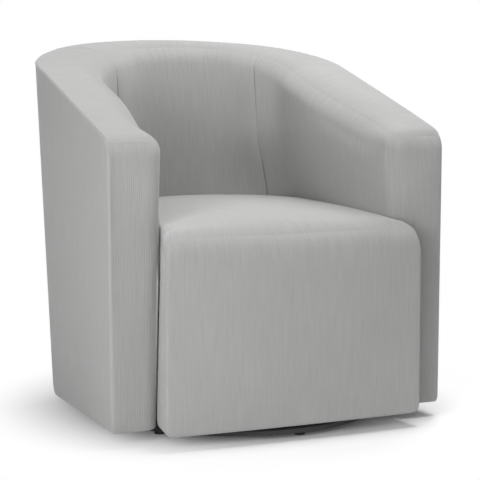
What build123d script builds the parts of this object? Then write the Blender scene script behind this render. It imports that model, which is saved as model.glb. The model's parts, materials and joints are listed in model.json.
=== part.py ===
from build123d import *
import os
from math import cos, radians, sin

os.makedirs("parts", exist_ok=True)

# A barrel armchair on a turning base. The origin is where the turning axis meets the floor,
# the front is towards -Y and sizes are in millimetres.

# Wrap-around shell, measured on the outside of the cloth
shell_drop = 3.2
overall_height = 828
arm_height = 622
half_width = 376
side_flare = 5
arm_front = 265
side_end = 121
back_curve = 214
back_rake = 103
arm_thickness = 124
back_thickness = 90
seam_angle = 38
crest_round_outer = 22
crest_round_inner = 34
front_round = 20

# Seat
seat_projection = 77
seat_front_bow = 6
seat_lap = 36.5
seat_drop = 5.2
seat_edge_height = 438
seat_edge_lift = 4
seat_crown = 6
seat_round = 30
seat_side_round = 14
deck_height = 335

# Cloth, padding and the clearances between soft pieces
cover_thickness = 2.5
soft_gap = 0.4
seam_gap = 0.3
crest_pad = 28
crest_rail_gap = 2
arm_front_pad = 21
front_pad_depth = 14

# Timber frame
rail_depth = 47
lower_rail_height = 70
crest_rail_height = 42
post_width = 50
arm_board_thickness = 3.5
arm_board_setback = 28
board_thickness = 18
seat_box_margin = 34
seat_box_reach = 70
cross_rail_drop = 48
rear_rail_height = 88
front_box_margin = 6
base_panel_setback = 8
corner_block_leg = 55
corner_block_height = 50
joint_gap = 0.3

# Springs and webbing
spring_count = 4
spring_margin = 75
spring_slack = 3.2
spring_bar = 26
spring_bend = 22
spring_wire = 3.8
bend_lengths = 3
clip_width = 16
clip_thickness = 2
spring_pad_thickness = 6
strap_thickness = 2
strap_low = 60

# Turning base
glide_count = 6
glide_first_angle = -85
glide_inset = 30
glide_radius = 11
glide_height = 11
base_radius = 322
base_thickness = 12
base_edge = 3
plate_side = 230
plate_corner = 18
plate_thickness = 2.5
roller_count = 6
roller_diameter = 6
roller_length = 14
roller_circle = 75
roller_clearance = 0.1
cage_width = 26
cage_thickness = 2
cage_clearance = 0.15
hub_radius = 18
hub_running = 0.05
hub_press = 0.02
hub_flange_radius = 26
hub_flange_thickness = 2
hub_lift = 0.3
hub_relief = 4
screw_radius = 3
screw_clearance = 0.2
screw_head_radius = 6
screw_head_height = 2.2
lower_screw_place = 95
upper_screw_place = 80
lower_screw_length = 10
upper_screw_length = 14
dust_cover_thickness = 0.8
dust_cover_inset = 12
dust_cover_edge = 0.5

# Levels of the turning base and of the underside it carries
base_top = glide_height + base_thickness
plate_gap = roller_diameter + 2 * roller_clearance
lower_plate_top = base_top + plate_thickness
upper_plate_low = lower_plate_top + plate_gap
upper_plate_top = upper_plate_low + plate_thickness
roller_height = lower_plate_top + plate_gap / 2
frame_bottom = upper_plate_top
dust_cover_low = frame_bottom - dust_cover_thickness
shell_bottom = frame_bottom - shell_drop
seat_bottom = frame_bottom - seat_drop

# Depths and places that follow from the shell
back_top = side_end + back_rake + back_curve
crest_slope = (overall_height - arm_height) / (back_top + arm_front)
frame_near = cover_thickness + seam_gap
frame_far = frame_near + rail_depth
padding_near = frame_far + arm_board_thickness + 2 * joint_gap
frame_front = arm_front - arm_front_pad
crest_rail_top = crest_pad + crest_rail_gap
crest_rail_low = crest_rail_top + crest_rail_height
lower_rail_top = frame_bottom + lower_rail_height
arm_board_rear = side_end - arm_board_setback

# Places of the seat between the arms
seat_front = arm_front + seat_projection
seat_half_width = half_width - arm_thickness + seat_lap
seat_box_half_width = half_width - frame_far - seat_box_margin
seat_box_rear = side_end + seat_box_reach
front_box_half_width = half_width - arm_thickness - front_box_margin
front_board_front = seat_front - front_pad_depth
base_panel_rear = side_end - base_panel_setback
spring_level = deck_height - spring_pad_thickness - 2 * clip_thickness - spring_wire - spring_slack
cross_rail_top = spring_level - cross_rail_drop
spring_spacing = 2 * (front_box_half_width - spring_margin) / (spring_count - 1)
glide_circle = base_radius - glide_inset

# Steps that the rounded and curved forms are drawn in
round_steps = 3
crown_steps = 4
edge_shares = ((0, 0.5), (0.4, 0.15), (1, 0))
bend_steps = 3
back_steps = 9
far = 2000


def save(name, shape):
    export_step(shape, f"parts/{name}.step")


def save_pair(name, right):
    save(f"{name}_right", right)
    save(f"{name}_left", mirror(right, about=Plane.YZ))


def at_each(places, height, shape):
    return [Pos(0, 0, height) * place * shape for place in places]


def block(x, y, z):
    """A box between two corners given as pairs along each axis."""
    size = [high - low for low, high in (x, y, z)]
    middle = [(high + low) / 2 for low, high in (x, y, z)]
    return Pos(*middle) * Box(*size)


# A station is a cross-section of the shell: an angle round the curved back, or an angle and a
# place along the straight side. Depth runs inwards from the outside of the cloth.
def crest_height(station):
    angle, y = station
    reach = back_top - back_curve + back_curve * sin(radians(angle)) if y is None else y
    return arm_height + crest_slope * (reach + arm_front)


def shell_point(station, depth, z):
    angle, y = station
    rise = (z - shell_bottom) / (overall_height - shell_bottom)
    x = (half_width - depth + side_flare * rise) * cos(radians(angle))
    if y is None:
        curve = back_curve - depth * back_thickness / arm_thickness
        y = side_end + curve * sin(radians(angle)) + back_rake * rise
    return Vector(x, y, z)


def bend_stations():
    return [(seam_angle * step / bend_steps, None) for step in range(bend_steps + 1)]


def back_stations():
    turn = (180 - 2 * seam_angle) / back_steps
    return [(seam_angle + turn * step, None) for step in range(back_steps + 1)]


def floor_level(z):
    return lambda station: z


def below_crest(drop):
    return lambda station: crest_height(station) - drop


def wall_section(station, near, deep, low, high):
    bottom = low(station)
    top = high(station)
    corners = [
        shell_point(station, near, bottom),
        shell_point(station, near, top),
        shell_point(station, deep, top),
        shell_point(station, deep, bottom),
    ]
    return closed_outline(corners)


def wall(stations, near, deep, low, high):
    """A strip of the shell between two depths and two heights."""
    return Solid.make_loft([wall_section(s, near, deep, low, high) for s in stations], True)


def side_wall(front, near, deep, low, high):
    return wall([(0, front)] + bend_stations(), near, deep, low, high)


def straight_wall(front, rear, near, deep, low, high):
    """A flat strip of the straight side, pushed inwards from its outer face."""
    corners = []
    for y, level in ((front, low), (rear, low), (rear, high), (front, high)):
        corners.append(shell_point((0, y), near, level((0, y))))
    return extrude(Face(closed_outline(corners)), deep - near, (-1, 0, 0))


def back_wall(near, deep, low, high):
    return wall(back_stations(), near, deep, low, high)


def rolled_corner(radius):
    """Steps of a quarter round, as pairs of the way across and the way down from its corner."""
    turns = [radians(90 * step / round_steps) for step in range(round_steps + 1)]
    return [(radius * (1 - sin(turn)), radius * (1 - cos(turn))) for turn in turns]


def closed_outline(points):
    return Wire([Line(points[i - 1], points[i]) for i in range(len(points))])


def padded_section(station, inset, bottom, draw=0):
    """The rolled outline of the arm or back, drawn in by an inset and, at the front, by a draw."""
    near = inset + draw
    inner = arm_thickness - near
    top = crest_height(station) - near
    outline = [(near, bottom)]
    for across, down in rolled_corner(crest_round_outer - inset):
        outline.append((near + down, top - across))
    for across, down in rolled_corner(crest_round_inner - inset):
        outline.append((inner - across, top - down))
    outline.append((inner, bottom))
    return closed_outline([shell_point(station, depth, z) for depth, z in outline])


def padded_side(inset, bottom):
    """One arm with its bend, drawn in over a round at the front."""
    front = -arm_front + inset
    edge = front_round - inset
    sections = []
    for along, drawn in edge_shares:
        sections.append(padded_section((0, front + along * edge), inset, bottom, drawn * edge))
    sections += [padded_section(s, inset, bottom) for s in bend_stations()]
    return Solid.make_loft(sections, True)


def padded_back(inset, bottom):
    return Solid.make_loft([padded_section(s, inset, bottom) for s in back_stations()], True)


# Padding and covers of the shell
open_bottom = shell_bottom - 10
side_form = padded_side(0, shell_bottom)
back_form = padded_back(0, shell_bottom)
side_filling = padded_side(cover_thickness, open_bottom)
back_filling = padded_back(cover_thickness, open_bottom)

seat_space = block((-far, far), (-frame_front, far), (open_bottom - 1, deck_height))
seam_drop = crest_round_outer - seam_gap
seam_front = -arm_front + front_round
seam_depth = crest_round_outer / 2
side_cut = side_wall(seam_front, -seam_depth, seam_depth, floor_level(open_bottom), below_crest(seam_drop))
back_cut = back_wall(-seam_depth, seam_depth, floor_level(open_bottom), below_crest(seam_drop))
save_pair("inside_arm_cover", side_form - side_filling - side_cut - seat_space)
save("inside_back_cover", back_form - back_filling - back_cut - seat_space)

cover_top = below_crest(crest_round_outer)
outside_front = seam_front + seam_gap
outside_depth = cover_thickness - seam_gap
cover_low = floor_level(shell_bottom)
save_pair("outside_arm_cover", side_wall(outside_front, 0, outside_depth, cover_low, cover_top))
save("outside_back_cover", back_wall(0, outside_depth, cover_low, cover_top))

frame_space = block((-far, far), (-far, far), (open_bottom - 1, frame_bottom))
pad_level = below_crest(crest_pad)
side_core = side_wall(-frame_front, -seam_depth, padding_near, floor_level(open_bottom), pad_level)
back_core = back_wall(-seam_depth, padding_near, floor_level(open_bottom), pad_level)
save_pair("arm_foam", side_filling - side_core - seat_space - frame_space)
save("back_foam", back_filling - back_core - seat_space - frame_space)

# Timber frame of the shell
rail_front = -frame_front + joint_gap
lower_low = floor_level(frame_bottom)
lower_high = floor_level(lower_rail_top)
crest_low = below_crest(crest_rail_low)
crest_high = below_crest(crest_rail_top)
save_pair("lower_rail", side_wall(rail_front, frame_near, frame_far, lower_low, lower_high))
save("lower_rail_back", back_wall(frame_near, frame_far, lower_low, lower_high))
save_pair("arm_rail", side_wall(rail_front, frame_near, frame_far, crest_low, crest_high))
save("back_rail", back_wall(frame_near, frame_far, crest_low, crest_high))

post_rear = rail_front + post_width
post_high = below_crest(crest_rail_low + joint_gap)
save_pair("arm_post", straight_wall(rail_front, post_rear, frame_near, frame_far, lower_high, post_high))
back_angles = back_stations()
back_post_stations = bend_stations()[-2:] + back_angles[1:2]
save_pair("back_post", wall(back_post_stations, frame_near, frame_far, lower_high, post_high))
stile_first = back_steps // 2
stile_stations = back_angles[stile_first : stile_first + 2]
save("back_stile", wall(stile_stations, frame_near, frame_far, lower_high, post_high))

board_near = frame_far + joint_gap
board_far = board_near + arm_board_thickness
board_low = floor_level(deck_height)
save_pair("arm_board", straight_wall(rail_front, arm_board_rear, board_near, board_far, board_low, crest_high))

# Upright straps behind the back padding, stapled to the two back rails
strap_far = board_near + strap_thickness
straps = []
for i in range(1, back_steps, 2):
    straps.append(wall(back_angles[i : i + 2], board_near, strap_far, floor_level(strap_low), crest_high))
save("back_webbing", Compound(straps))

# Seat box
cross_front = -frame_front + joint_gap
cross_y = (cross_front, cross_front + board_thickness)
panel_half_width = half_width - frame_far - joint_gap
panel_z = (frame_bottom, frame_bottom + board_thickness)
hub_hole = Cylinder(hub_flange_radius + hub_relief, far)
upper_corners = GridLocations(2 * upper_screw_place, 2 * upper_screw_place, 2, 2)
upper_holes = upper_corners * Cylinder(screw_radius + screw_clearance, far)
panel = block((-panel_half_width, panel_half_width), (cross_y[1], base_panel_rear), panel_z)
panel = panel - hub_hole - upper_holes
save("base_panel", panel)

side_inner = seat_box_half_width - board_thickness
side_y = (cross_y[1], seat_box_rear)
side_notch = block((0, far), (cross_y[1], base_panel_rear + joint_gap), (0, panel_z[1]))
seat_side = block((side_inner, seat_box_half_width), side_y, (frame_bottom, spring_level)) - side_notch
save_pair("seat_side", seat_side)

save("seat_cross_rail", block((-panel_half_width, panel_half_width), cross_y, (frame_bottom, cross_rail_top)))
rear_y = (seat_box_rear - board_thickness, seat_box_rear)
rear_z = (spring_level - rear_rail_height, spring_level)
save("seat_rear_rail", block((-side_inner, side_inner), rear_y, rear_z))

front_y = (-front_board_front, -front_board_front + board_thickness)
front_x = (-front_box_half_width, front_box_half_width)
save("front_board", block(front_x, front_y, (frame_bottom, spring_level)))
front_side_x = (front_box_half_width - board_thickness, front_box_half_width)
save_pair("front_side", block(front_side_x, (front_y[1], cross_y[0]), (frame_bottom, spring_level)))

# Corner blocks glued inside the seat box, under the springs
block_low = cross_rail_top - corner_block_height
corner_triangle = Polyline((0, 0), (-corner_block_leg, 0), (0, corner_block_leg), (0, 0))
front_block = extrude(make_face(corner_triangle), corner_block_height)
front_block = Pos(side_inner, cross_y[1], block_low) * front_block
rear_block = extrude(make_face(mirror(corner_triangle, about=Plane.XZ)), corner_block_height)
rear_block = Pos(side_inner, rear_y[0], block_low) * rear_block
blocks = [front_block, rear_block]
save("corner_blocks", Compound(blocks + [mirror(b, about=Plane.YZ) for b in blocks]))


# Zigzag seat springs, each one wire from the front board to the rear rail
def spring_path(start, end):
    """Bars across the seat joined by half turns of short lengths."""
    rows = int((end - start) / (2 * spring_bend))
    step = (end - start) / rows
    points = [(-spring_bar / 2, start)]
    for row in range(rows):
        side = 1 if row % 2 == 0 else -1
        for turn in range(bend_lengths + 1):
            angle = radians(180 * turn / bend_lengths)
            across = spring_bar / 2 + step / 2 * sin(angle)
            points.append((side * across, start + row * step + step / 2 * (1 - cos(angle))))
    last_side = -1 if rows % 2 == 1 else 1
    points.append((last_side * spring_bar / 2, end))
    return Polyline(*points)


clip_reach = spring_wire / 2 + clip_thickness
spring_height = spring_level + clip_thickness + spring_wire / 2
spring_start = front_y[0] + board_thickness / 2
spring_end = rear_y[0] + board_thickness / 2
route = spring_path(spring_start, spring_end)
wire_plane = Plane(origin=route @ 0, x_dir=(0, 0, 1), z_dir=(1, 0, 0))
spring = sweep(wire_plane * Rectangle(spring_wire, spring_wire), path=route, transition=Transition.RIGHT)
spring_places = [(i - (spring_count - 1) / 2) * spring_spacing for i in range(spring_count)]
save("seat_springs", Compound([Pos(x, 0, spring_height) * spring for x in spring_places]))

# A folded steel clip holds each end bar of a spring on its rail
clip_outer = 2 * clip_reach
clip_bore = spring_wire + 2 * joint_gap
clip_shape = Rectangle(clip_outer, clip_outer) - Rectangle(clip_bore, clip_bore)
clip_shape = clip_shape - Pos(clip_outer / 2, 0) * Rectangle(clip_outer, clip_bore)
clip = extrude(Plane.YZ * clip_shape, clip_width / 2, both=True)
clips = []
for x in spring_places:
    clips.append(Pos(x, spring_start, spring_height) * clip)
    clips.append(Pos(x, spring_end, spring_height) * mirror(clip, about=Plane.XZ))
save("spring_clips", Compound(clips))


# Seat block: crowned top, rounded front edge and a front that drops to the floor line
def seat_section(x, inset, bottom, draw=0):
    share = (x / seat_half_width) ** 2
    near = inset + draw
    front = -seat_front + seat_front_bow * share + near
    edge = seat_edge_height + seat_edge_lift * (1 - share) - near
    crown = seat_crown * (2 - share)
    outline = [(front, bottom)]
    for across, down in rolled_corner(seat_round - inset):
        outline.append((front + down, edge - across))
    start = outline[-1][0]
    chord = back_top - start
    for step in range(1, crown_steps + 1):
        part = step / crown_steps
        outline.append((start + chord * part, edge + 4 * crown * part * (1 - part)))
    outline.append((back_top, bottom))
    return closed_outline([(x, y, z) for y, z in outline])


def seat_block(inset, bottom):
    """The seat drawn in by an inset and cut to fit between the arms and the back."""
    reach = seat_half_width - inset
    rim = seat_side_round - inset
    places = [(reach - along * rim, drawn * rim) for along, drawn in edge_shares]
    flat = reach - rim
    inner = [(flat * (1 - 2 * step / crown_steps), 0) for step in range(1, crown_steps)]
    places += inner + [(-x, draw) for x, draw in reversed(places)]
    sections = [seat_section(x, inset, bottom, draw) for x, draw in places]
    gap = -soft_gap - inset
    side = padded_side(gap, bottom - 1)
    fitted = Solid.make_loft(sections, True) - side - mirror(side, about=Plane.YZ)
    return (fitted - padded_back(gap, bottom - 1)).solids().sort_by(Axis.Y)[0]


seat_form = seat_block(0, seat_bottom)
seat_filling = seat_block(cover_thickness, seat_bottom - 10)
save("seat_cover", seat_form - seat_filling - seat_space)

under_deck = block((-far, far), (-far, far), (0, deck_height))
save("seat_foam", seat_filling - under_deck)
front_space = block((-far, far), (-arm_front, far), (0, far))
front_box = block((-front_box_half_width, front_box_half_width), (-front_board_front, far), (0, far))
over_deck = block((-far, far), (-far, far), (deck_height - joint_gap, far))
below_frame = block((-far, far), (-far, far), (0, frame_bottom))
front_pad = seat_filling - front_space - front_box - over_deck - below_frame
save("front_pad", front_pad)

pad_top = deck_height - joint_gap
pad_y = (-front_board_front + joint_gap, seat_box_rear)
pad_half_width = front_box_half_width - joint_gap
save("spring_pad", block((-pad_half_width, pad_half_width), pad_y, (pad_top - spring_pad_thickness, pad_top)))

# Thin sheet that closes the underside of the frame, cut out round the swivel plate
sheet_stations = [(0, rail_front)] + bend_stations() + back_angles[1:]
sheet_stations += [(180 - angle, y) for angle, y in reversed([(0, rail_front)] + bend_stations()[:-1])]
sheet_points = [shell_point(s, dust_cover_inset, dust_cover_low) for s in sheet_stations]
sheet_half_width = front_box_half_width - dust_cover_edge
sheet_front = -front_board_front + dust_cover_edge
sheet_points.append(Vector(-sheet_half_width, rail_front, dust_cover_low))
sheet_points.append(Vector(-sheet_half_width, sheet_front, dust_cover_low))
sheet_points.append(Vector(sheet_half_width, sheet_front, dust_cover_low))
sheet_points.append(Vector(sheet_half_width, rail_front, dust_cover_low))
sheet = extrude(Face(closed_outline(sheet_points)), dust_cover_thickness, (0, 0, 1))
plate_opening = plate_side + 2 * dust_cover_edge
save("dust_cover", sheet - Box(plate_opening, plate_opening, far))

# Turning base: a round board on glides
lower_corners = GridLocations(2 * lower_screw_place, 2 * lower_screw_place, 2, 2)
disc = Pos(0, 0, glide_height + base_thickness / 2) * Cylinder(base_radius, base_thickness)
disc = chamfer(disc.edges().filter_by(GeomType.CIRCLE).sort_by(Axis.Z)[-1], base_edge)
lower_hole = Cylinder(screw_radius + screw_clearance, lower_screw_length)
disc = disc - at_each(lower_corners, base_top - lower_screw_length / 2, lower_hole)
save("base_disc", disc)

glide = Pos(0, 0, glide_height / 2) * Cylinder(glide_radius, glide_height)
glides = []
for i in range(glide_count):
    turn = radians(glide_first_angle + 360 / glide_count * i)
    glides.append(Pos(glide_circle * cos(turn), glide_circle * sin(turn), 0) * glide)
save("base_glides", Compound(glides))


# Roller bearing between two square plates
def swivel_plate(low, bore, corners):
    plate = extrude(Pos(0, 0, low) * RectangleRounded(plate_side, plate_side, plate_corner), plate_thickness)
    return plate - Cylinder(bore, far) - corners * Cylinder(screw_radius + screw_clearance, far)


save("swivel_lower_plate", swivel_plate(base_top, hub_radius + hub_press, lower_corners))
save("swivel_upper_plate", swivel_plate(upper_plate_low, hub_radius + hub_running, upper_corners))

roller_ring = PolarLocations(roller_circle, roller_count)
roller = Rot(0, 90, 0) * Cylinder(roller_diameter / 2, roller_length)
save("bearing_rollers", Compound(at_each(roller_ring, roller_height, roller)))
cage = Cylinder(roller_circle + cage_width / 2, cage_thickness)
cage = cage - Cylinder(roller_circle - cage_width / 2, cage_thickness)
window = Box(roller_length + 2 * cage_clearance, roller_diameter + 2 * cage_clearance, cage_thickness)
save("roller_cage", Pos(0, 0, roller_height) * (cage - roller_ring * window))

flange_low = upper_plate_top + hub_lift
hub = Pos(0, 0, (base_top + flange_low) / 2) * Cylinder(hub_radius, flange_low - base_top)
flange_middle = flange_low + hub_flange_thickness / 2
save("swivel_hub", hub + Pos(0, 0, flange_middle) * Cylinder(hub_flange_radius, hub_flange_thickness))


def screw(length):
    """A hexagon-head screw standing on its head's seat at z 0, with the shank upwards."""
    head = extrude(RegularPolygon(screw_head_radius, 6), -screw_head_height)
    return head + Pos(0, 0, length / 2) * Cylinder(screw_radius, length)


upper_screw = screw(plate_thickness + upper_screw_length - joint_gap)
save("upper_plate_screws", Compound(at_each(upper_corners, upper_plate_low, upper_screw)))
lower_screw = Rot(180, 0, 0) * screw(plate_thickness + lower_screw_length - joint_gap)
save("lower_plate_screws", Compound(at_each(lower_corners, lower_plate_top, lower_screw)))
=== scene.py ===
import json
import math
import bmesh
import bpy
from mathutils import Matrix, Vector


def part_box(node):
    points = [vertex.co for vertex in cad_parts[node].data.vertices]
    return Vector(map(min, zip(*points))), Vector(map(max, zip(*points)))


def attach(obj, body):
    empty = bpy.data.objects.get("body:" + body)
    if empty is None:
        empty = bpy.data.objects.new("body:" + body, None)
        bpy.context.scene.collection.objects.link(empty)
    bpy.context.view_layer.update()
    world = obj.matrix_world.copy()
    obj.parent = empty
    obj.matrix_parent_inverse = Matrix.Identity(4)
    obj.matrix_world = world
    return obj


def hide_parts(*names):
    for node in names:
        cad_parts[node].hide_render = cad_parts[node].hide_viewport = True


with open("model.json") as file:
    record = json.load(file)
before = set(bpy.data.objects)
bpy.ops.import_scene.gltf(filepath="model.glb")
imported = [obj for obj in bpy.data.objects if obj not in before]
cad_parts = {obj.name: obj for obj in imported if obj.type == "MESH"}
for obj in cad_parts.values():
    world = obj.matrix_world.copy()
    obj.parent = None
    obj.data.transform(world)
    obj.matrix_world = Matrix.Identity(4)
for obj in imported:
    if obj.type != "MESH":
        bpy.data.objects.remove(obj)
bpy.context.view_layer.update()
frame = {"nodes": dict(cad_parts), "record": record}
print("frame loaded:", len(frame["nodes"]), "nodes")


# shader sockets as numbers, and one way to add any node
class Wire:
    def __init__(self, finish, socket):
        self.finish = finish
        self.socket = socket

    def calc(self, operation, first, second):
        return self.finish.node("ShaderNodeMath", {"operation": operation}, {0: first, 1: second})

    def __add__(self, other):
        return self.calc("ADD", self, other)

    def __sub__(self, other):
        return self.calc("SUBTRACT", self, other)

    def __rsub__(self, other):
        return self.calc("SUBTRACT", other, self)

    def __mul__(self, other):
        return self.calc("MULTIPLY", self, other)

    __radd__ = __add__
    __rmul__ = __mul__

    def sine(self):
        return self.calc("SINE", self, 0.0)


class Finish:
    def __init__(self, name):
        self.material = bpy.data.materials.new(name)
        self.material.use_nodes = True
        self.tree = self.material.node_tree
        self.shader = self.tree.nodes["Principled BSDF"]

    def node(self, kind, settings=None, values=None, out=0):
        made = self.tree.nodes.new(kind)
        for key, value in (settings or {}).items():
            if key == "stops":  # a ramp's places and colours
                stops = made.color_ramp.elements
                while len(stops) < len(value):
                    stops.new(0.5)
                for stop, (place, colour) in zip(stops, value):
                    stop.position = place
                    stop.color = (*colour, 1)
            else:
                setattr(made, key, value)
        for key, value in (values or {}).items():
            self.put(made.inputs[key], value)
        return Wire(self, made.outputs[out])

    def put(self, socket, value):
        if isinstance(value, Wire):
            self.tree.links.new(value.socket, socket)
        else:
            socket.default_value = value

    def set(self, **values):  # sockets of the main shader, by name with _ for a space
        for key, value in values.items():
            self.put(self.shader.inputs[key.replace("_", " ")], value)

    def coords(self, output="Object"):
        return self.node("ShaderNodeTexCoord", out=output)

    def noise(self, vector, scale, detail=3.0, roughness=0.5):
        values = {"Vector": vector, "Scale": scale, "Detail": detail, "Roughness": roughness}
        return self.node("ShaderNodeTexNoise", None, values)

    def stretch(self, vector, scale):
        return self.node("ShaderNodeMapping", {"vector_type": "POINT"}, {"Vector": vector, "Scale": scale})

    def blend(self, factor, low, high):
        values = {0: factor, 6: (*low, 1), 7: (*high, 1)}
        return self.node("ShaderNodeMix", {"data_type": "RGBA"}, values, 2)

    def bump(self, height, strength, distance):
        values = {"Height": height, "Strength": strength, "Distance": distance}
        return self.node("ShaderNodeBump", None, values)


# ribbed cloth: upright cords in the weave, uneven yarn and a soft fuzz
ribCloth = dict(
    pitch=0.0042,  # from cord to cord
    pick=0.0022,  # from one cross yarn to the next
    sway=0.006,  # how far a cord wanders
    dark=(0.240, 0.240, 0.238),
    light=(0.464, 0.464, 0.459),
    roughness=0.92,
    sheen=0.30,
    height=0.0011,
    flatFrom=0.85,  # how far a face looks up before its cords are gone
    flatFade=0.45,
)


def makeRibCloth():
    finish = Finish("ribCloth")
    place = finish.coords("UV")
    across, up = (finish.node("ShaderNodeSeparateXYZ", None, {0: place}, out) for out in (0, 1))
    sway = finish.noise(finish.stretch(place, (9, 4, 1)), 1.0, 2.0)
    along = across + (sway - 0.5) * ribCloth["sway"]
    turn = 2 * math.pi
    cord = (along * (turn / ribCloth["pitch"])).sine() * 0.5 + 0.5
    pick = (up * (turn / ribCloth["pick"]) + along * (math.pi / ribCloth["pitch"])).sine() * 0.5 + 0.5
    slub = finish.noise(finish.stretch(place, (190, 11, 1)), 1.0, 3.0, 0.6)  # thick and thin yarn
    fleck = finish.noise(finish.stretch(place, (520, 300, 1)), 1.0, 2.0, 0.7)
    cloud = finish.noise(finish.stretch(place, (5, 5, 1)), 1.0, 2.0)
    ribs = finish.node("ShaderNodeAttribute", {"attribute_name": "ribs"}, out="Fac")  # 0 on the tops
    cord = cord * ribs
    tone = cord * 0.10 + pick * 0.05 + slub * 0.42 + fleck * 0.24 + cloud * 0.12 + 0.03
    finish.set(Base_Color=finish.blend(tone, ribCloth["dark"], ribCloth["light"]))
    finish.set(Roughness=slub * 0.08 + (ribCloth["roughness"] - 0.04))
    finish.set(Normal=finish.bump(cord * 0.5 + pick * 0.2 + slub * 0.7, 0.5, ribCloth["height"]))
    finish.set(Sheen_Weight=ribCloth["sheen"], Sheen_Roughness=0.5, Specular_IOR_Level=0.2)
    return finish.material


# black spun cloth under the chair, felt and straps share one weave with their own colours
def makeCoarseCloth(name, dark, light, pitch):
    finish = Finish(name)
    place = finish.coords()
    grain = finish.noise(finish.stretch(place, (1 / pitch, 1 / pitch, 1 / pitch)), 1.0, 4.0, 0.65)
    cloud = finish.noise(place, 14.0, 2.0)
    finish.set(Base_Color=finish.blend(grain * 0.8 + cloud * 0.3 - 0.05, dark, light))
    finish.set(Roughness=grain * 0.15 + 0.8, Normal=finish.bump(grain, 0.5, 0.0008), Sheen_Weight=0.15)
    return finish.material


def makeTimber(name, dark, light):
    finish = Finish(name)
    place = finish.coords()
    rings = finish.noise(finish.stretch(place, (60, 60, 4)), 1.0, 4.0, 0.6)
    pores = finish.noise(finish.stretch(place, (900, 900, 40)), 1.0, 2.0, 0.5)
    cloud = finish.noise(place, 5.0, 2.0)
    finish.set(Base_Color=finish.blend(rings * 0.8 + pores * 0.25 + cloud * 0.3 - 0.2, dark, light))
    finish.set(Roughness=pores * 0.2 + 0.55, Normal=finish.bump(rings * 0.5 + pores, 0.3, 0.0006))
    return finish.material


def makePaint(name, dark, light, roughness, speckle):
    finish = Finish(name)
    place = finish.coords()
    peel = finish.noise(place, speckle, 2.0)
    scuff = finish.noise(place, 22.0, 5.0, 0.7)
    finish.set(Base_Color=finish.blend(peel * 0.5 + scuff * 0.5, dark, light))
    finish.set(Roughness=scuff * 0.2 + roughness, Normal=finish.bump(peel, 0.2, 0.0004))
    return finish.material


def makeMetal(name, dark, light, roughness):
    finish = Finish(name)
    place = finish.coords()
    brush = finish.noise(finish.stretch(place, (40, 900, 900)), 1.0, 3.0)
    cloud = finish.noise(place, 30.0, 3.0)
    finish.set(Base_Color=finish.blend(brush * 0.5 + cloud * 0.5, dark, light), Metallic=1.0)
    finish.set(Roughness=brush * 0.2 + cloud * 0.15 + roughness, Normal=finish.bump(brush, 0.15, 0.0003))
    return finish.material


finishes = dict(
    upholstery=makeRibCloth(),
    felt=makeCoarseCloth("feltPad", (0.20, 0.19, 0.18), (0.42, 0.41, 0.39), 0.0016),
    webbing=makeCoarseCloth("juteStrap", (0.08, 0.06, 0.045), (0.26, 0.21, 0.15), 0.0022),
    dust_cloth=makeCoarseCloth("spunDustCloth", (0.006, 0.006, 0.006), (0.028, 0.028, 0.029), 0.0014),
    timber=makeTimber("sawnTimber", (0.36, 0.22, 0.11), (0.66, 0.47, 0.28)),
    hardboard=makeTimber("brownHardboard", (0.15, 0.09, 0.05), (0.27, 0.17, 0.10)),
    base_board=makePaint("charcoalBoard", (0.012, 0.012, 0.012), (0.040, 0.040, 0.041), 0.42, 700.0),
    glide=makePaint("blackGlide", (0.008, 0.008, 0.008), (0.022, 0.022, 0.022), 0.45, 900.0),
    plate=makePaint("powderCoat", (0.012, 0.012, 0.013), (0.035, 0.035, 0.036), 0.5, 1200.0),
    cage=makePaint("cagePlastic", (0.010, 0.010, 0.010), (0.030, 0.030, 0.030), 0.4, 600.0),
    nylon=makePaint("naturalNylon", (0.60, 0.58, 0.52), (0.76, 0.74, 0.68), 0.4, 500.0),
    zinc_steel=makeMetal("zincSteel", (0.42, 0.42, 0.41), (0.66, 0.66, 0.65), 0.3),
    spring_steel=makeMetal("oiledSteel", (0.08, 0.08, 0.085), (0.22, 0.22, 0.23), 0.35),
)
# painted shade: timber seen through the open gaps is coloured near black, so the gaps read as dark shade
gapShadeTimber = makeTimber("gapShadeTimber", (0.010, 0.010, 0.010), (0.035, 0.034, 0.033))
gapNodes = (
    "lower_rail_left", "lower_rail_right", "lower_rail_back", "front_side_left", "front_side_right",
    "front_board", "arm_post_left", "arm_post_right", "seat_cross_rail",
)
for part in frame["record"]["subparts"]:
    node = frame["nodes"][part["node"]]
    if part["material_slot"] in finishes:
        for holder in node.material_slots:
            holder.material = gapShadeTimber if part["node"] in gapNodes else finishes[part["material_slot"]]
print("finishes made:", len(finishes))


# the wrap-around shell, in metres: an angle round the back, a depth from the outside and a height
shell = dict(
    bottom=0.031, height=0.828, armHeight=0.622, halfWidth=0.376, flare=0.005, armFront=0.265,
    sideEnd=0.121, backCurve=0.214, rake=0.103, thick=0.124, backThick=0.090,
    seamAngle=math.radians(38), seamDrop=0.006, deck=0.337, boardDepth=0.053, frontPad=0.0208,
)
wallLength = shell["sideEnd"] + shell["rake"] + shell["backCurve"] + shell["armFront"]
crestSlope = (shell["height"] - shell["armHeight"]) / wallLength
ledge = 0.0006  # two rows this close make a step


def riseAt(z):
    return (z - shell["bottom"]) / (shell["height"] - shell["bottom"])


def crestAt(y):
    return shell["armHeight"] + crestSlope * (y + shell["armFront"])


def roundPair(p, q, radiusP, radiusQ):  # two distances from two faces, eased round their corner
    if p >= radiusP or q >= radiusQ:
        return p, q
    a = 1 - p / radiusP
    b = 1 - q / radiusQ
    share = max(a, b) / max(math.hypot(a, b), 1e-9)
    return radiusP * (1 - a * share), radiusQ * (1 - b * share)


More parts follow.
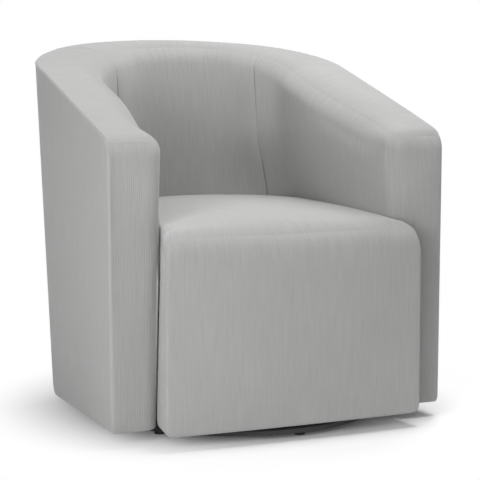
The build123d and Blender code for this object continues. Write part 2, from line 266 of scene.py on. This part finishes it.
def rolledEdge(front, top, side, roll, edge):  # a top rolls over into a front, its side edge eased
    layer = min(front, top)
    if layer < edge[1] and side < edge[0]:
        side, deeper = roundPair(side, layer, *edge)
        shrink = (roll - deeper) / (roll - layer)
        front, top = (roll - (roll - p) * shrink if p < roll else p for p in (front, top))
    return (*roundPair(front, top, roll, roll), side)


def boxMesh(cuts):  # a cube from 0 to 1 divided into cells along each axis
    bm = bmesh.new()
    bmesh.ops.create_cube(bm, size=1.0)
    bmesh.ops.translate(bm, vec=(0.5, 0.5, 0.5), verts=bm.verts)
    for axis in range(3):
        along = [e for e in bm.edges if abs((e.verts[0].co - e.verts[1].co)[axis]) > 1e-6]
        bmesh.ops.subdivide_edges(bm, edges=along, cuts=cuts[axis] - 1, use_grid_fill=True)
    return bm


def gridPlaces(bm, cuts):  # each vertex's place in a divided cube, counted in cells
    bm.verts.ensure_lookup_table()
    return [tuple(round(v.co[a] * cuts[a]) for a in range(3)) for v in bm.verts]


def steps(near, end, size, far=()):  # places from 0 to end: close ones given, even ones between
    last = end - (far[0] if far else 0)
    count = max(1, round((last - near[-1]) / size))
    middle = [near[-1] + (last - near[-1]) * i / count for i in range(1, count + 1)]
    return list(near) + middle + [end - f for f in far[1:]]


def markRibs(piece):  # how far the cords stand out: fully on upright faces, not on the tops
    looksUp = [abs(v.normal.z) for v in piece.data.vertices]
    upright = [max(0, min(1, (ribCloth["flatFrom"] - up) / ribCloth["flatFade"])) for up in looksUp]
    ribs = piece.data.attributes.new("ribs", "FLOAT", "POINT")
    ribs.data.foreach_set("value", upright)


def finishPad(piece):
    markRibs(piece)
    smooth = piece.modifiers.new("smooth", "SUBSURF")
    smooth.levels = smooth.render_levels = 1


def newPiece(name, bm, material):
    mesh = bpy.data.meshes.new(name)
    bm.to_mesh(mesh)
    bm.free()
    piece = bpy.data.objects.new(name, mesh)
    bpy.context.collection.objects.link(piece)
    mesh.materials.append(material)
    mesh.polygons.foreach_set("use_smooth", [True] * len(mesh.polygons))
    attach(piece, "chair")
    return piece


# cloth with a little pressure inside fills the padding out, held at its seams
padding = dict(frames=16, pressure=3.0, tension=22.0, bending=1.5, even=36)


def evenMoves(mesh, moves, hold):  # small creases are pulled out, as a fitted cover's are
    beside = [[] for _ in moves]
    for edge in mesh.edges:
        a, b = edge.vertices
        beside[a].append(b)
        beside[b].append(a)
    for _ in range(padding["even"]):
        moves = [move if held else (move + sum((moves[n] for n in near), Vector()) / len(near)) / 2
                 for move, near, held in zip(moves, beside, hold)]
    return moves


def fillOut(piece, hold, cap):
    rest = [v.co.copy() for v in piece.data.vertices]
    pin = piece.vertex_groups.new(name="sewn")
    for i, weight in enumerate(hold):
        pin.add([i], weight, "REPLACE")
    cloth = piece.modifiers.new("filling", "CLOTH")
    cloth.settings.vertex_group_mass = "sewn"
    cloth.settings.use_pressure = True
    cloth.settings.uniform_pressure_force = padding["pressure"]
    cloth.settings.tension_stiffness = padding["tension"]
    cloth.settings.compression_stiffness = padding["tension"]
    cloth.settings.shear_stiffness = padding["tension"] / 2
    cloth.settings.bending_stiffness = padding["bending"]
    cloth.settings.effector_weights.gravity = 0
    cloth.collision_settings.use_collision = False
    cloth.point_cache.frame_end = padding["frames"]
    for step in range(1, padding["frames"] + 1):
        bpy.context.scene.frame_set(step)
    filled = piece.evaluated_get(bpy.context.evaluated_depsgraph_get()).data
    moves = [filled.vertices[i].co - co for i, co in enumerate(rest)]
    piece.modifiers.remove(cloth)
    piece.vertex_groups.remove(pin)
    bpy.context.scene.frame_set(1)
    moves = evenMoves(piece.data, moves, hold)
    for vertex, co, move in zip(piece.data.vertices, rest, moves):
        if move.length > 1e-7:
            vertex.co = co + move * (cap * math.tanh(move.length / cap) / move.length)
    most = max(m.length for m in moves)
    print(piece.name, "filled out by up to", round(1000 * most, 1), "mm before its cap of", 1000 * cap)


def wallPoint(spot, d, z):  # spot is (angle, y of the straight side or None)
    angle, y = spot
    rise = riseAt(z)
    x = (shell["halfWidth"] - d + shell["flare"] * rise) * math.cos(angle)
    if y is None:
        curve = shell["backCurve"] - d * shell["backThick"] / shell["thick"]
        y = shell["sideEnd"] + curve * math.sin(angle) + shell["rake"] * rise
    return Vector((x, y, z))


# tight seat: crowned top, soft front edge and a front that drops to the floor line
seat = dict(
    front=0.342, bow=0.006, bowReach=0.06, halfWidth=0.2885, bottom=0.029, edge=0.438, gap=0.0008,
    lift=0.004, crown=0.012, crownStart=0.030, middle=1.5,  # the crown is fuller on the middle line
    rearDepth=0.124, lean=0.046, frontBack=0.0212, roll=0.046,
    sideTop=(0.026, 0.024), sideFront=(0.007, 0.007), softDrop=0.012, softFade=0.05,
    armNear=0.02, armFade=0.07,
    foot=0.018, footShare=0.6, deckHold=0.004, cap=0.009, fill=0.95, weave=(3, 1),
    cell=0.0105, foreCell=0.009, nominal=0.44, rollRows=(0, 0.003, 0.007, 0.014, 0.022, 0.032),
    sideRows=(0, 0.003, 0.007, 0.012, 0.018, 0.026), footRows=(0.020, 0.014, 0.008, 0.003, 0),
)

# arms and back: radii of the edges and of the roll over an arm front, the fuller inside, the rows of cells
armPad = dict(
    roll=0.037, inner=(0.038, 0.034), innerTop=(0.072, 0.052), easing=0.09, outer=(0.008, 0.007),
    foot=0.0085,
    crown=0.003, crownDepth=0.09, dip=0.0008, dipShares=(1, 0.55, 0.2), groove=0.0014,
    swell=0.034, swellFrom=0.05, swellReach=0.30, swellRise=0.18, swellEnd=math.radians(78),
    narrow=0.021, narrowHeight=0.56, narrowEnd=0.10, narrowFade=0.06,
    cap=0.005, fill=0.95, turn=0.07, weave=1,
    cell=0.0105, bendRadius=0.30, backRadius=0.31, depthCell=0.0085, rows=48, footHold=4,
    outerRows=(0, 0.003, 0.007, 0.013), innerRows=(0.012, 0.005, 0), edgeRows=(0, 0.002, 0.0035),
    seamStep=0.0015, frontRows=(0.029, 0.037, 0.047), topRows=(0.014, 0.021, 0.029, 0.037),
)
seamRow = 4  # the row on the outer seam, counted from the crest and from an arm front


def softStep(share):
    share = max(0, min(1, share))
    return share * share * (3 - 2 * share)


def innerSwell(s, angle):  # the padding inside is fuller towards the bends, above the seat
    if angle > 0:
        past = min(angle, math.pi - angle) - shell["seamAngle"]
        return armPad["swell"] * (1 - softStep(past / (armPad["swellEnd"] - shell["seamAngle"])))
    return armPad["swell"] * softStep((s - armPad["swellFrom"]) / armPad["swellReach"])


def crownAt(d, drop):  # the top is domed from its outer to its inner edge
    dome = 0.5 - (2 * d / shell["thick"] - 1) ** 2
    return armPad["crown"] * dome * (1 - softStep(drop / armPad["crownDepth"]))


def footNarrow(z, s):  # the inner side of an arm front thins towards the floor
    near = max(0, min(1, (armPad["narrowEnd"] - s) / armPad["narrowFade"]))
    return armPad["narrow"] * near * max(0, 1 - (z - shell["bottom"]) / armPad["narrowHeight"])


def wallSpot(reach, z):  # reach is a distance on the straight side, or an angle past its end
    kind, value = reach
    if kind == "bend":
        return value, None
    start, share, front = value
    straight = shell["sideEnd"] + shell["rake"] * riseAt(z) + shell["armFront"] - front
    return 0.0, -shell["armFront"] + start + share * straight


def wallCrest(reach):
    kind, value = reach
    if kind == "bend":
        return crestAt(shell["sideEnd"] + shell["rake"] + shell["backCurve"] * math.sin(value))
    return crestAt(wallSpot(reach, shell["height"])[1])


seamWidths = (0.008, 0.004, 0.002, 0.0008)  # rows that close up on a seam


def seamRows():  # the row on the outer seam and one on either side
    return [shell["seamDrop"] + move for move in (-armPad["seamStep"], 0, armPad["seamStep"])]


def armReaches():
    near = [*armPad["edgeRows"], *seamRows(), armPad["topRows"][0]]
    near += [shell["frontPad"], shell["frontPad"] + ledge, *armPad["frontRows"]]
    front = near[-1]
    straight = shell["sideEnd"] + shell["armFront"] + shell["rake"] / 2 - front
    count = round(straight / armPad["cell"])
    reaches = [("straight", (s, 0, front)) for s in near]
    reaches += [("straight", (front, i / count, front)) for i in range(1, count)]
    radius = armPad["bendRadius"]
    arc = shell["seamAngle"] * radius
    reaches += [("bend", s / radius) for s in steps([0], arc, armPad["cell"], seamWidths + (0,))]
    distances = list(near) + [front + straight * i / count for i in range(1, count)]
    total = front + straight
    distances += [total + r[1] * radius for r in reaches if r[0] == "bend"]
    return reaches, distances


def backReaches():
    radius = armPad["backRadius"]
    arc = (math.pi - 2 * shell["seamAngle"]) * radius
    near = [0, *reversed(seamWidths)]
    places = steps(near, arc, armPad["cell"], seamWidths + (0,))
    return [("bend", shell["seamAngle"] + s / radius) for s in places], places


def wallRows():  # drops below the crest, closest first, then shares of the height that is left
    drops = [*armPad["edgeRows"], *seamRows(), *armPad["topRows"]]
    return drops, [1 - i / armPad["rows"] for i in range(1, armPad["rows"] + 1)]


def padWall(name, reaches, distances, arm, mirrored):
    thick = shell["thick"]
    depths = steps(armPad["outerRows"], thick, armPad["depthCell"], armPad["innerRows"])
    boardStep = min(range(len(depths)), key=lambda i: abs(depths[i] - shell["boardDepth"]))
    drops, shares = wallRows()
    rowCount = len(drops) + len(shares)
    cuts = [len(reaches) - 1, len(depths) - 1, rowCount - 1]
    bm = boxMesh(cuts)
    index = gridPlaces(bm, cuts)
    hold = []
    for vertex, (i, j, k) in zip(bm.verts, index):
        reach = reaches[i]
        d = depths[j]
        crest = wallCrest(reach)
        s = distances[i] if arm else 1.0
        atFoot = shell["bottom"] if j <= boardStep or s <= shell["frontPad"] else shell["deck"]
        row = cuts[2] - k
        if row < len(drops):
            drop = drops[row]
        else:
            start = drops[-1]
            drop = start + (crest - start - atFoot) * (1 - shares[row - len(drops)])
        outer = d < thick / 2
        side, edge = (d, armPad["outer"]) if outer else (thick - d, armPad["inner"])
        if s < armPad["roll"]:
            front, top, side = rolledEdge(s, drop, side, armPad["roll"], edge)
        else:  # the inner edge of the top is softer away from the arm front
            ease = 0 if outer else softStep((s - armPad["roll"]) / armPad["easing"])
            front = s
            radii = (a + (b - a) * ease for a, b in zip(edge, armPad["innerTop"]))
            side, top = roundPair(side, drop, *radii)
        rolled = arm and reach[0] == "straight" and s < armPad["roll"]
        z = (crestAt(front - shell["armFront"]) if rolled else crest) - top + crownAt(d, drop)
        foot = z - shell["bottom"]
        if outer:
            side, foot = roundPair(side, foot, armPad["foot"], armPad["foot"])
        front, foot = roundPair(front, foot, armPad["foot"], armPad["foot"])
        z = shell["bottom"] + foot
        depth = side if outer else thick - side
        share = depth / thick
        angle = reach[1] if reach[0] == "bend" else 0
        swell = innerSwell(s, angle) * softStep((z - seat["edge"]) / armPad["swellRise"])
        depth += (swell - footNarrow(z, s)) * share
        spot = ("straight", (front, 0, 0)) if rolled else reach
        vertex.co = wallPoint(wallSpot(spot, z), depth, z)
        belowDeck = j == cuts[1] and z < shell["deck"]
        free = row < rowCount - armPad["footHold"] and j > 0 and 0 < i < cuts[0] and not belowDeck
        free = free or (arm and i == 0 and 1 < j and k >= armPad["footHold"])
        hold.append(0.0 if free else 1.0)
    uv = bm.loops.layers.uv.new("cloth")
    for face in bm.faces:
        spots = [index[v.index] for v in face.verts]
        onFront = arm and all(p[0] == 0 for p in spots)
        onTop = all(p[2] == cuts[2] for p in spots)
        for loop in face.loops:
            i, j, k = index[loop.vert.index]
            along, up = distances[i], loop.vert.co.z
            turned = max(0, 1 - along / armPad["turn"]) if arm else 0  # cords swing round to the front
            if onFront:
                along = depths[j] - thick
            elif onTop:
                along += turned * (depths[j] - thick - along)
                up += (1 - turned) * (thick - depths[j]) + turned * distances[i]
            loop[uv].uv = (along + armPad["weave"], up)
    if mirrored:
        for vertex in bm.verts:
            vertex.co.x = -vertex.co.x
    bmesh.ops.recalc_face_normals(bm, faces=bm.faces)
    piece = newPiece(name, bm, finishes["upholstery"])
    fillOut(piece, hold, armPad["cap"])
    closeSeams(piece, index, cuts, arm)
    finishPad(piece)
    return piece


def closeSeams(piece, index, cuts, arm):  # a valley at each sewn end and a line along the outer edge
    normals = [v.normal.copy() for v in piece.data.vertices]
    valley = [armPad["dip"] * share for share in armPad["dipShares"]]
    for vertex, normal, (i, j, k) in zip(piece.data.vertices, normals, index):
        row = cuts[2] - k
        end = cuts[0] - i if arm else min(i, cuts[0] - i)
        inside = j > 0 and (j == cuts[1] or row == 0)
        if inside and end < len(valley):
            vertex.co -= normal * valley[end]
        alongTop = row == seamRow and (not arm or i >= seamRow)
        downFront = arm and i == seamRow and row > seamRow
        if j == 0 and (alongTop or downFront):
            vertex.co -= normal * armPad["groove"]


reaches, distances = armReaches()
armSides = dict(armPadRight=("right", False), armPadLeft=("left", True))
for name, (hand, mirrored) in armSides.items():
    pad = padWall(name, reaches, distances, True, mirrored)
    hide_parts("inside_arm_cover_" + hand, "arm_foam_" + hand, "outside_arm_cover_" + hand)
reaches, distances = backReaches()
backPad = padWall("backPad", reaches, distances, False, False)
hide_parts("inside_back_cover", "back_foam", "outside_back_cover")
print("arms and back padded")


def seatTop(x, y):
    share = min(1, (x / seat["halfWidth"]) ** 2)
    start = -seat["front"] + seat["crownStart"]
    reach = shell["sideEnd"] + shell["rake"] + shell["backCurve"] - start
    part = max(0, (y - start) / reach)
    crown = 4 * seat["crown"] * (seat["middle"] - share / 2) * part * (1 - part)
    return seat["edge"] + seat["lift"] * (1 - share) + crown


def seatHalf(y, z):  # the front block draws in from its corners to the arms, the rest follows them
    behind = max(y + shell["armFront"], seat["frontBack"])
    across, deep = armPad["inner"]
    eased = across * (1 - math.sqrt(1 - max(0, 1 - behind / deep) ** 2))
    inner = shell["halfWidth"] - shell["thick"] + shell["flare"] * riseAt(z)
    clear = inner + eased + footNarrow(z, behind) - seat["gap"]
    share = min(1, (y + seat["front"]) / (seat["front"] - shell["armFront"] + seat["frontBack"]))
    return seat["halfWidth"] + (clear - seat["halfWidth"]) * share


def seatEdge(drop, y):  # the side edge is soft on the front block, crisp down the front and by the arms
    below = softStep((drop - seat["softDrop"]) / seat["softFade"])
    beside = softStep((y + shell["armFront"] + seat["armNear"]) / seat["armFade"])
    share = max(below, beside)
    return tuple(a + (b - a) * share for a, b in zip(seat["sideTop"], seat["sideFront"]))


def makeSeat():
    width = 2 * seat["halfWidth"]
    across = steps(seat["sideRows"], width, seat["cell"], seat["sideRows"][::-1])
    frontDepth = shell["armFront"] - seat["frontBack"]  # where the front block ends
    blockDepth = seat["front"] - frontDepth
    fore = steps(seat["rollRows"], blockDepth, seat["foreCell"])
    rear = seat["front"] + shell["sideEnd"] + shell["rake"] + seat["rearDepth"] - seat["lean"]
    back = fore + steps([blockDepth + ledge], rear, seat["cell"])
    closeRows = [*seat["rollRows"], seat["roll"]]
    heights = steps(closeRows, seat["nominal"], seat["cell"], seat["footRows"])
    cuts = [len(across) - 1, len(back) - 1, len(heights) - 1]
    bm = boxMesh(cuts)
    index = gridPlaces(bm, cuts)
    hold = []
    last = closeRows[-1]
    for vertex, (i, j, k) in zip(bm.verts, index):
        x = across[i] - seat["halfWidth"]
        y = back[j] - seat["front"]
        inFront = j < len(fore)
        low = seat["bottom"] if inFront else shell["deck"]
        top = seatTop(x, y)
        drop = heights[cuts[2] - k]
        if drop > last:
            drop = last + (top - last - low) * (drop - last) / (heights[-1] - last)
        half = seatHalf(y, top - drop)
        x *= half / seat["halfWidth"]
        bend = shell["sideEnd"] + shell["rake"] * riseAt(top - drop)
        if y > bend:  # the rear follows the curve of the back
            a, b = abs(x) / half, (y - bend) / seat["rearDepth"]
            share = max(a, b) / max(math.hypot(a, b), 1e-9)
            x, y = x * share, bend + (y - bend) * share
        else:
            edge = seatEdge(drop, y)
            front, drop, side = rolledEdge(y + seat["front"], drop, half - abs(x), seat["roll"], edge)
            foot = top - drop - seat["bottom"]
            if inFront:
                frontFoot = seat["foot"] * seat["footShare"]
                front, foot = roundPair(front, foot, frontFoot, frontFoot)
                side, foot = roundPair(side, foot, seat["foot"], seat["foot"])
                drop = top - seat["bottom"] - foot
            x, y = math.copysign(half - side, x), front - seat["front"]
        if y < -shell["armFront"]:
            ahead = min(1, (-shell["armFront"] - y) / seat["bowReach"])
            y += seat["bow"] * (x / seat["halfWidth"]) ** 2 * ahead
        z = top - drop
        vertex.co = (x, y, z)
        under = k == 0 or (not inFront and z < shell["deck"] + seat["deckHold"]) or j == cuts[1]
        sides = i in (0, 1, cuts[0] - 1, cuts[0])
        hold.append(1.0 if under or sides else 0.0)
    uv = bm.loops.layers.uv.new("cloth")
    for face in bm.faces:
        spots = [index[v.index] for v in face.verts]
        onSide = all(p[0] == 0 for p in spots) or all(p[0] == cuts[0] for p in spots)
        for loop in face.loops:
            i, j, k = index[loop.vert.index]
            along = back[j] if onSide else across[i]
            loop[uv].uv = (along + seat["weave"][0], back[j] - heights[cuts[2] - k] + seat["weave"][1])
    bmesh.ops.recalc_face_normals(bm, faces=bm.faces)
    piece = newPiece("seatPad", bm, finishes["upholstery"])
    fillOut(piece, hold, seat["cap"])
    finishPad(piece)
    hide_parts("seat_cover", "seat_foam", "front_pad")


makeSeat()
print("seat padded")


# felt over the springs, a quilted pad
feltPad = dict(cell=0.02, layers=2, sag=0.0015, quilt=0.09, fill=0.4)


def makeFelt():
    low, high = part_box("spring_pad")
    size = high - low
    cuts = [round(size.x / feltPad["cell"]), round(size.y / feltPad["cell"]), feltPad["layers"]]
    bm = boxMesh(cuts)
    for vertex in bm.verts:
        place = Vector([low[a] + size[a] * vertex.co[a] for a in range(3)])
        wave = math.prod(math.cos(c * math.pi / feltPad["quilt"]) for c in place.xy)
        place.z -= feltPad["sag"] * (1 - wave ** 2) * vertex.co.z
        vertex.co = place
    piece = newPiece("springFelt", bm, finishes["felt"])
    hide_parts("spring_pad")


makeFelt()
print("felt laid over the springs")


# stapled cloth, pulled tight: the black sheet under the frame and the straps behind the back
stapled = dict(
    dustCover=dict(
        node="dust_cover", slot="dust_cloth", facing=(0, 0, -1), strips=False,
        cell=0.03, sag=0.0010, reach=0.08, thick=0.0008,
        rails=("lower_rail_left", "lower_rail_right", "lower_rail_back"),
    ),
    backStrap=dict(
        node="back_webbing", slot="webbing", facing=(0, -1, 0), strips=True,
        cell=0.06, sag=0.0004, reach=0.02, thick=0.002,
        rails=("back_rail", "lower_rail_back"),
    ),
)
halvings = 6  # rounds that split edges longer than a cell


def faceGroups(bm):  # faces that hang together, the outermost groups first and +X before -X
    left = set(bm.faces)
    groups = []
    while left:
        group = [left.pop()]
        for face in group:
            beside = {other for edge in face.edges for other in edge.link_faces} & left
            left -= beside
            group.extend(beside)
        groups.append(group)
    groups.sort(key=lambda group: -max(v.co.x for face in group for v in face.verts))
    middle = (len(groups) - 1) / 2
    order = sorted(range(len(groups)), key=lambda place: -abs(place - middle))
    return [{face.index for face in groups[place]} for place in order]


def oneSide(cloth, facing):  # the faces of a thin CAD solid that look one way
    bm = bmesh.new()
    bm.from_mesh(frame["nodes"][cloth["node"]].data)
    bmesh.ops.remove_doubles(bm, verts=bm.verts, dist=1e-6)
    bm.normal_update()
    away = [f for f in bm.faces if f.normal.dot(facing) < 0.5]
    bmesh.ops.delete(bm, geom=away, context="FACES")
    bm.faces.index_update()
    return bm


def cutSheet(bm, group, cell):  # one group of faces, divided into cells
    sheet = bm.copy()
    sheet.faces.ensure_lookup_table()
    bmesh.ops.delete(sheet, geom=[f for f in sheet.faces if f.index not in group], context="FACES")
    for _ in range(halvings):
        wide = [e for e in sheet.edges if e.calc_length() > cell]
        bmesh.ops.subdivide_edges(sheet, edges=wide, cuts=1)
        bmesh.ops.triangulate(sheet, faces=sheet.faces)
    return sheet


def sagSheet(sheet, move, reach):  # free of its stapled rim, the cloth gives a little
    rim = [v.co.copy() for v in sheet.verts if v.is_boundary]
    for vertex in sheet.verts:
        near = min((vertex.co - place).length for place in rim)
        vertex.co += move * softStep(near / reach)


def makeStapled(name, cloth):
    facing = Vector(cloth["facing"])
    bm = oneSide(cloth, facing)
    for number, group in enumerate(faceGroups(bm)):
        sheet = cutSheet(bm, group, cloth["cell"])
        area = sum(f.calc_area() for f in sheet.faces)
        places = [[v.co[a] for v in sheet.verts] for a in range(3)]
        least, width, length = sorted(max(p) - min(p) for p in places)
        if cloth["strips"]:
            length = math.hypot(length, least)
            width = area / length
        sagSheet(sheet, facing * cloth["sag"], cloth["reach"])
        title = name + str(number + 1) if cloth["strips"] else name
        piece = newPiece(title, sheet, finishes[cloth["slot"]])
        body = piece.modifiers.new("body", "SOLIDIFY")
        body.thickness = cloth["thick"]
        print(title, "cut", round(width, 3), "by", round(length, 3), "m, area", round(area, 4), "m2")
        if number == 0:
            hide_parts(cloth["node"])
    bm.free()


for name, cloth in stapled.items():
    makeStapled(name, cloth)
print("cloth stapled on")


# floor, camera and light
# painted shadow: the floor's white camera glow fades out towards the shadow centre, so the floor round the
# chair shows its lit grey, a soft shadow pool that holds the lamps' real shadows
studio = dict(floor=14.0, sky=0.05, floorGlow=0.05, nearFloor=0.34, farFloor=0.66, shadow=(0.09, 0.04, 0))
lamps = dict(  # place, aim, size and power
    topLamp=((1.3, 0.9, 2.5), (0, 0, 0.5), 1.2, 33.0),
    frontLamp=((-1.4, -1.8, 1.0), (0, 0, 0.4), 1.2, 18.0),
    sideLamp=((-2.4, -1.9, 0.8), (0, 0, 0.4), 1.2, 28.5),
    leftLamp=((-3.0, 0, 1.0), (0, 0, 0.4), 1.6, 5.0),
    nearLamp=((0.3, -0.4, 2.8), (0, -0.1, 0.4), 1.0, 46.0),
    rightLamp=((2.2, -1.2, 1.0), (0, 0, 0.5), 1.2, 6.0),
)
camera = dict(place=(-1.3422, -3.1125, 0.7702), turn=23.6, tilt=5.54, roll=-0.02, lens=114.96, shift=-0.06)


def makeFloor():
    bm = bmesh.new()
    bmesh.ops.create_grid(bm, x_segments=1, y_segments=1, size=studio["floor"])
    mesh = bpy.data.meshes.new("studioFloor")
    bm.to_mesh(mesh)
    bm.free()
    floor = bpy.data.objects.new("studioFloor", mesh)
    bpy.context.collection.objects.link(floor)
    finish = Finish("paleFloor")
    finish.set(Base_Color=(0.92, 0.92, 0.92, 1), Roughness=0.9, Specular_IOR_Level=0.0)
    seen = finish.node("ShaderNodeLightPath", out="Is Camera Ray")
    spots = {0: finish.coords(), 1: studio["shadow"]}
    # painted shadow: camera rays see white far from the shadow centre and the lit grey floor near it
    away = finish.node("ShaderNodeVectorMath", {"operation": "DISTANCE"}, spots, "Value")
    ends = {"From Min": studio["nearFloor"], "From Max": studio["farFloor"]}
    ends.update({"To Min": studio["floorGlow"], "To Max": 1.0})
    fade = finish.node("ShaderNodeMapRange", {"interpolation_type": "SMOOTHSTEP"}, {"Value": away, **ends})
    glow = finish.node("ShaderNodeEmission", None, {"Color": (1, 1, 1, 1), "Strength": 1.0})
    body = Wire(finish, finish.shader.outputs[0])
    mixed = finish.node("ShaderNodeMixShader", None, {0: seen * fade, 1: body, 2: glow})
    finish.tree.links.new(mixed.socket, finish.tree.nodes["Material Output"].inputs["Surface"])
    mesh.materials.append(finish.material)


def makeSky():
    world = bpy.data.worlds.new("studioSky")
    bpy.context.scene.world = world
    world.use_nodes = True
    tree = world.node_tree
    # the sky is a white backdrop to the camera; glossy rays also see it at full white, a painted
    # reflection, while the light it gives elsewhere stays at the sky level
    ray = tree.nodes.new("ShaderNodeLightPath")
    both = tree.nodes.new("ShaderNodeMath")
    both.operation = "MAXIMUM"
    tree.links.new(ray.outputs["Is Camera Ray"], both.inputs[0])
    tree.links.new(ray.outputs["Is Glossy Ray"], both.inputs[1])
    level = tree.nodes.new("ShaderNodeMix")
    level.inputs[2].default_value = studio["sky"]
    level.inputs[3].default_value = 1.0
    tree.links.new(both.outputs[0], level.inputs[0])
    back = tree.nodes["Background"]
    back.inputs["Color"].default_value = (1, 1, 1, 1)
    tree.links.new(level.outputs[0], back.inputs["Strength"])


def addLamp(name, place, target, size, power):
    data = bpy.data.lights.new(name, "AREA")
    data.shape = "DISK"
    data.size = size
    data.energy = power
    lamp = bpy.data.objects.new(name, data)
    lamp.location = place
    lamp.rotation_euler = (Vector(target) - Vector(place)).to_track_quat("-Z", "Y").to_euler()
    lamp.visible_camera = False
    bpy.context.collection.objects.link(lamp)


def addCamera():
    data = bpy.data.cameras.new("studioCamera")
    data.lens = camera["lens"]
    data.sensor_width = 36.0
    data.shift_y = camera["shift"]
    turn, tilt, roll = (math.radians(camera[k]) for k in ("turn", "tilt", "roll"))
    ahead = Vector((math.sin(turn) * math.cos(tilt), math.cos(turn) * math.cos(tilt), -math.sin(tilt)))
    right = Vector((math.cos(turn), -math.sin(turn), 0))
    up = right.cross(ahead)
    across = right * math.cos(roll) + up * math.sin(roll)
    above = up * math.cos(roll) - right * math.sin(roll)
    holder = bpy.data.objects.new("studioCamera", data)
    turned = Matrix((across, above, -ahead)).transposed().to_4x4()
    holder.matrix_world = Matrix.Translation(camera["place"]) @ turned
    bpy.context.collection.objects.link(holder)
    bpy.context.scene.camera = holder


makeFloor()
makeSky()
for name, values in lamps.items():
    addLamp(name, *values)
addCamera()
bpy.context.scene.view_settings.view_transform = "Standard"
print("studio set")
